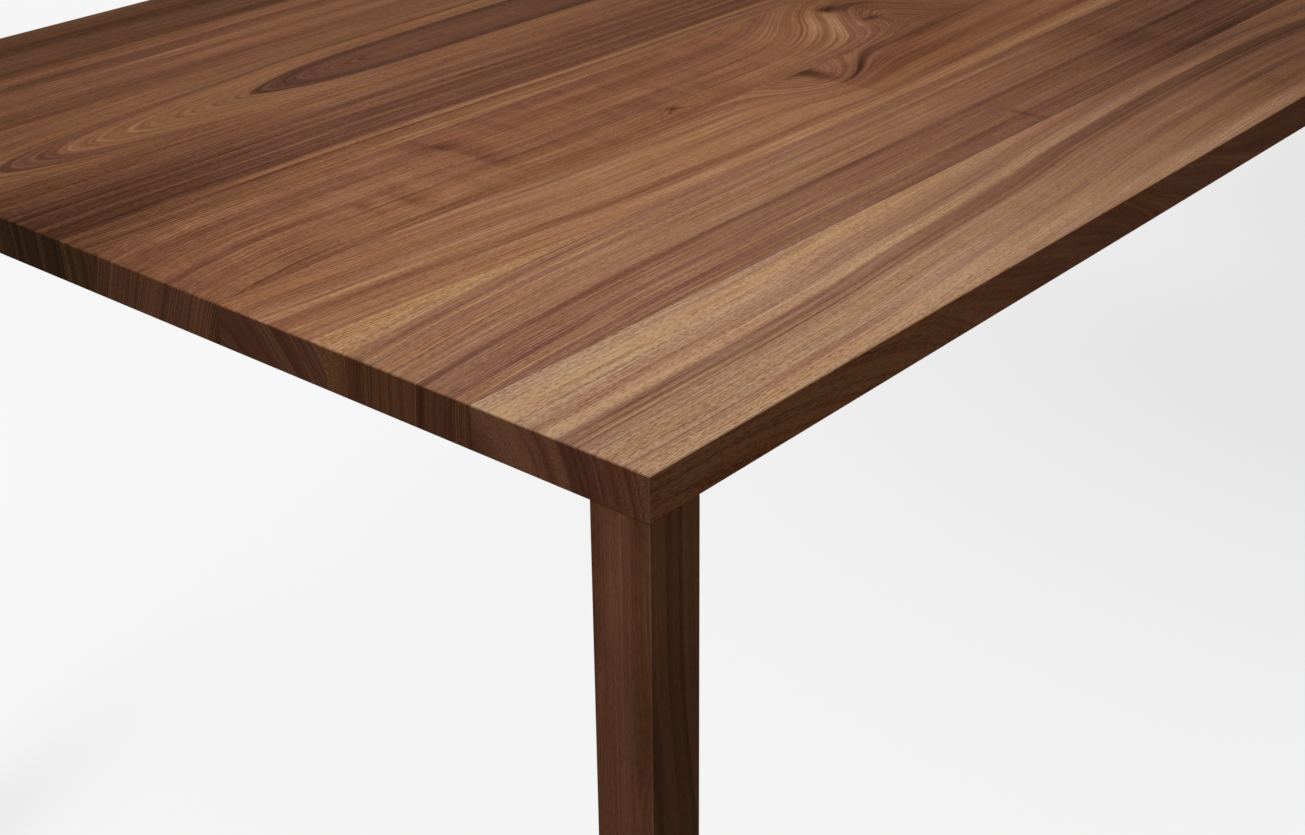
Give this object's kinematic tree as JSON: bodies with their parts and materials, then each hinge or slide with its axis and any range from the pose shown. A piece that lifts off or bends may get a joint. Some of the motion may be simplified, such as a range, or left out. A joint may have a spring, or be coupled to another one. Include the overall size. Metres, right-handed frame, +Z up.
{
  "type": "dining table",
  "caption": "Rectangular solid wood dining table with an edge-glued stave top, square legs flush with its corners, let-in steel brackets and levelling glides.",
  "frame": {"origin": "on the floor under the middle of the top", "axes": "+X along the length of the top, along its staves; +Y from the front long edge to the back one; +Z up"},
  "size_m": [2, 1, 0.75],
  "materials": {
    "walnut_top": "oiled, satin",
    "walnut_leg": "oiled, satin",
    "black_coated_steel": "fine-textured powder coat",
    "zinc_plated_steel": "bright zinc plate",
    "brass_insert": "turned",
    "black_nylon": "moulded, matt",
    "felt": "pressed wool felt"
  },
  "bodies": {
    "table": {"bracket_inserts_back_left": "brass_insert", "bracket_inserts_back_right": "brass_insert", "bracket_inserts_front_left": "brass_insert", "bracket_inserts_front_right": "brass_insert", "bracket_screws_back_left": "zinc_plated_steel", "bracket_screws_back_right": "zinc_plated_steel", "bracket_screws_front_left": "zinc_plated_steel", "bracket_screws_front_right": "zinc_plated_steel", "channel_left": "black_coated_steel", "channel_middle": "black_coated_steel", "channel_right": "black_coated_steel", "channel_screws_left": "zinc_plated_steel", "channel_screws_middle": "zinc_plated_steel", "channel_screws_right": "zinc_plated_steel", "foot_insert_back_left": "brass_insert", "foot_insert_back_right": "brass_insert", "foot_insert_front_left": "brass_insert", "foot_insert_front_right": "brass_insert", "leg_back_left": "walnut_leg", "leg_back_right": "walnut_leg", "leg_bracket_back_left": "black_coated_steel", "leg_bracket_back_right": "black_coated_steel", "leg_bracket_front_left": "black_coated_steel", "leg_bracket_front_right": "black_coated_steel", "leg_front_left": "walnut_leg", "leg_front_right": "walnut_leg", "top_stave_1": "walnut_top", "top_stave_2": "walnut_top", "top_stave_3": "walnut_top", "top_stave_4": "walnut_top", "top_stave_5": "walnut_top", "top_stave_6": "walnut_top", "top_stave_7": "walnut_top", "top_stave_8": "walnut_top"},
    "glide_front_left": {"glide_base_front_left": "black_nylon", "glide_pad_front_left": "felt", "glide_stud_front_left": "zinc_plated_steel"},
    "glide_front_right": {"glide_base_front_right": "black_nylon", "glide_pad_front_right": "felt", "glide_stud_front_right": "zinc_plated_steel"},
    "glide_back_left": {"glide_base_back_left": "black_nylon", "glide_pad_back_left": "felt", "glide_stud_back_left": "zinc_plated_steel"},
    "glide_back_right": {"glide_base_back_right": "black_nylon", "glide_pad_back_right": "felt", "glide_stud_back_right": "zinc_plated_steel"}
  },
  "joints": [
    {"name": "glide_front_left_level", "type": "slide", "parent": "table", "child": "glide_front_left", "axis": [0, 0, -1], "range_m": [0, 0.01]},
    {"name": "glide_front_right_level", "type": "slide", "parent": "table", "child": "glide_front_right", "axis": [0, 0, -1], "range_m": [0, 0.01]},
    {"name": "glide_back_left_level", "type": "slide", "parent": "table", "child": "glide_back_left", "axis": [0, 0, -1], "range_m": [0, 0.01]},
    {"name": "glide_back_right_level", "type": "slide", "parent": "table", "child": "glide_back_right", "axis": [0, 0, -1], "range_m": [0, 0.01]}
  ]
}
